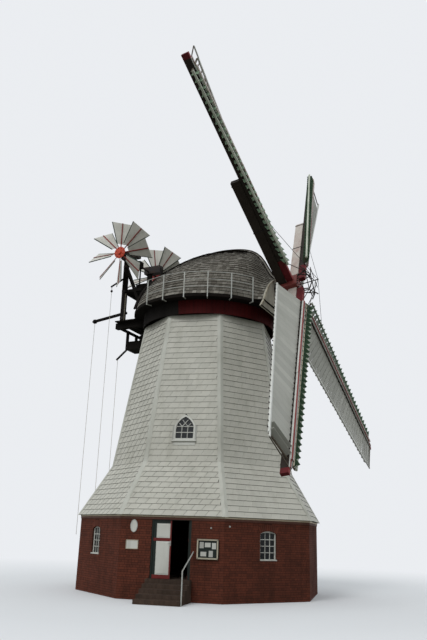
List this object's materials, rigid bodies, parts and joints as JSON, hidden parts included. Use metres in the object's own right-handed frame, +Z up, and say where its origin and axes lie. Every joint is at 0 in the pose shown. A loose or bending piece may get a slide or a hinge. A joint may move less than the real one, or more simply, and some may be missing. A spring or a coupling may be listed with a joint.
{
  "type": "windmill",
  "caption": "Smock windmill on an octagonal brick base, with a slate-hung tower, a turning cap, shuttered sails and a twin fan tail.",
  "frame": {"origin": "on the tower's upright axis at ground level", "axes": "+Z up along the tower's axis, -Y out through the entrance, +X to the right of the entrance seen from outside"},
  "size_m": [13.381, 17.2955, 22.103],
  "materials": {
    "brick": "rough",
    "dark_wood": "rough",
    "rail_metal": "satin",
    "shingle": "weathered",
    "red_wood": "painted",
    "white_wood": "painted",
    "green_wood": "painted",
    "cream_wood": "painted",
    "step_stone": "rough",
    "iron": "satin",
    "red_iron": "painted",
    "rope": "rough",
    "vane": "painted",
    "shutter": "painted",
    "slate": "satin",
    "glass": "gloss"
  },
  "bodies": {
    "tower": {"brick_walls_plain": "brick", "brick_walls_windowed": "brick", "corner_boards": "white_wood", "curb_ring": "dark_wood", "door_frame": "green_wood", "door_head": "brick", "door_piers": "brick", "eave_board": "cream_wood", "entrance_steps": "step_stone", "ground_floor": "step_stone", "handrail": "rail_metal", "notice_case": "dark_wood", "smock_sides_plain": "slate", "smock_sides_windowed": "slate", "wall_signs": "cream_wood", "window_frames": "white_wood", "window_glass": "glass"},
    "door_left": {"door_leaf_left": "green_wood"},
    "door_right": {"door_leaf_right": "green_wood"},
    "cap": {"cap_deck": "dark_wood", "cap_railing": "rail_metal", "cap_ring": "dark_wood", "cap_roof": "shingle", "cap_sheers": "dark_wood", "cap_skirt": "red_wood", "fan_bearings": "iron", "fan_frame": "green_wood", "fan_gear": "green_wood", "front_gable": "cream_wood", "hung_platform": "dark_wood", "rear_gable": "shingle", "rope_lever": "rope", "rope_pole": "rope", "rope_weight": "rope", "shaft_beams": "dark_wood", "stage_deck": "dark_wood", "stage_levers": "dark_wood"},
    "sails": {"poll_end": "red_iron", "sail_bands": "iron", "sail_frame_1": "white_wood", "sail_frame_2": "white_wood", "sail_frame_3": "white_wood", "sail_frame_4": "white_wood", "shutters_1": "shutter", "shutters_2": "shutter", "shutters_3": "shutter", "shutters_4": "shutter", "spider": "iron", "stock_1": "dark_wood", "stock_2": "dark_wood", "whips": "red_wood", "windshaft": "iron"},
    "fan": {"fan_shaft": "iron", "rose_arms": "red_wood", "rose_rims": "green_wood", "rose_vanes": "vane"}
  },
  "joints": [
    {"name": "cap_yaw", "type": "hinge", "parent": "tower", "child": "cap", "pos_m": [0, 0, 11.45], "axis": [0, 0, 1], "continuous": true},
    {"name": "sails_spin", "type": "hinge", "parent": "cap", "child": "sails", "pos_m": [0, 0, 12.363], "axis": [0.9606, -0.2253, 0.1625], "continuous": true},
    {"name": "fan_spin", "type": "hinge", "parent": "cap", "child": "fan", "pos_m": [-4.0423, 0.94811, 15.35], "axis": [0.2284, 0.9736, 0], "continuous": true},
    {"name": "door_left", "type": "hinge", "parent": "tower", "child": "door_left", "pos_m": [-0.69, -4.618, 0.73], "axis": [0, 0, 1], "range_deg": [0, 90]},
    {"name": "door_right", "type": "hinge", "parent": "tower", "child": "door_right", "pos_m": [0.69, -4.618, 0.73], "axis": [0, 0, 1], "range_deg": [0, 90]}
  ]
}
